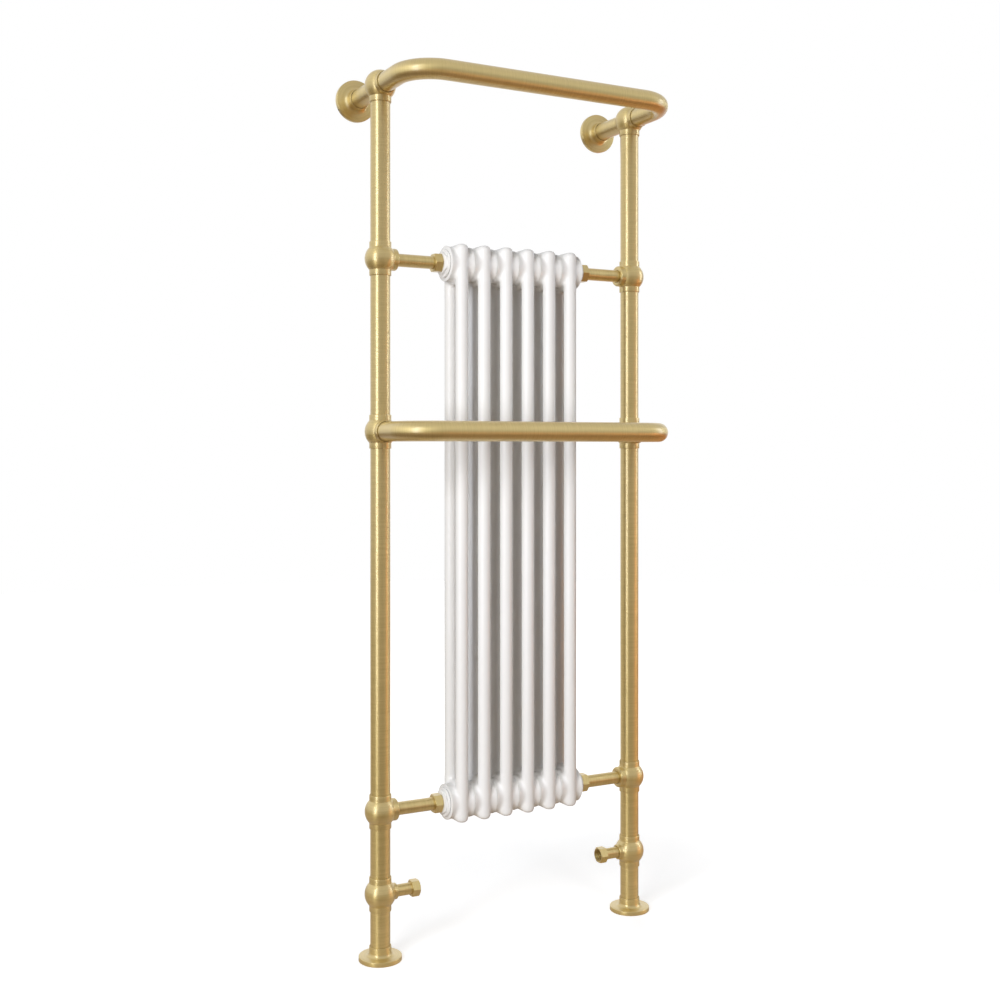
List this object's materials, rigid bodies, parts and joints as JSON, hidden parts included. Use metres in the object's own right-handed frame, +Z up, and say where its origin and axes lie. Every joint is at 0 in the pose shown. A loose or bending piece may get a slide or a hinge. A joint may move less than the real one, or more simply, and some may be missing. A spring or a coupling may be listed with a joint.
{
  "type": "towel radiator",
  "caption": "Traditional floor-standing towel radiator with brushed brass ball-jointed uprights, U-shaped towel rails, wall stays and a white column radiator between them.",
  "frame": {"origin": "on the floor, in the middle of the width and of the depth from the front of the rails to the wall", "axes": "+X to the right as seen from the front, +Y to the wall, +Z up"},
  "size_m": [0.575, 0.2693, 1.51],
  "materials": {
    "brushed_brass": "satin, brushed round the tubes, lacquered",
    "white_enamel": "gloss white stove enamel on steel",
    "plated_steel": "zinc plated",
    "fibre_seal": "matt fibre and rubber"
  },
  "bodies": {
    "frame": {"air_vent_plug": "brushed_brass", "bush_gaskets": "fibre_seal", "flange_grub_screws": "plated_steel", "left_floor_flange": "brushed_brass", "left_inlet_tail": "brushed_brass", "left_leg_tube": "brushed_brass", "left_long_riser": "brushed_brass", "left_lower_ball": "brushed_brass", "left_lower_bush": "white_enamel", "left_lower_feed_tube": "brushed_brass", "left_lower_union_nut": "brushed_brass", "left_middle_ball": "brushed_brass", "left_top_ball": "brushed_brass", "left_top_riser": "brushed_brass", "left_upper_ball": "brushed_brass", "left_upper_bush": "white_enamel", "left_upper_feed_tube": "brushed_brass", "left_upper_riser": "brushed_brass", "left_upper_union_nut": "brushed_brass", "left_valve_ball": "brushed_brass", "left_valve_riser": "brushed_brass", "left_wall_flange": "brushed_brass", "left_wall_plate": "plated_steel", "left_wall_stay": "brushed_brass", "middle_rail": "brushed_brass", "radiator_section_1": "white_enamel", "radiator_section_2": "white_enamel", "radiator_section_3": "white_enamel", "radiator_section_4": "white_enamel", "radiator_section_5": "white_enamel", "radiator_section_6": "white_enamel", "right_floor_flange": "brushed_brass", "right_inlet_tail": "brushed_brass", "right_leg_tube": "brushed_brass", "right_long_riser": "brushed_brass", "right_lower_ball": "brushed_brass", "right_lower_bush": "white_enamel", "right_lower_feed_tube": "brushed_brass", "right_lower_union_nut": "brushed_brass", "right_middle_ball": "brushed_brass", "right_top_ball": "brushed_brass", "right_top_riser": "brushed_brass", "right_upper_ball": "brushed_brass", "right_upper_bush": "white_enamel", "right_upper_feed_tube": "brushed_brass", "right_upper_riser": "brushed_brass", "right_upper_union_nut": "brushed_brass", "right_valve_ball": "brushed_brass", "right_valve_riser": "brushed_brass", "right_wall_flange": "brushed_brass", "right_wall_plate": "plated_steel", "right_wall_stay": "brushed_brass", "top_rail": "brushed_brass", "union_washers": "fibre_seal"},
    "left_inlet_nut": {"left_inlet_nut": "brushed_brass"},
    "right_inlet_nut": {"right_inlet_nut": "brushed_brass"},
    "air_vent_spindle": {"air_vent_spindle": "brushed_brass"}
  },
  "joints": [
    {"name": "left_inlet_nut_turn", "type": "hinge", "parent": "frame", "child": "left_inlet_nut", "pos_m": [-0.1857, 0.01818, 0.111], "axis": [1, 0, 0], "continuous": true},
    {"name": "right_inlet_nut_turn", "type": "hinge", "parent": "frame", "child": "right_inlet_nut", "pos_m": [0.1857, 0.01818, 0.111], "axis": [-1, 0, 0], "continuous": true},
    {"name": "air_vent_turn", "type": "hinge", "parent": "frame", "child": "air_vent_spindle", "pos_m": [0.281, 0.01818, 1.4735], "axis": [1, 0, 0], "range_deg": [0, 360]}
  ]
}
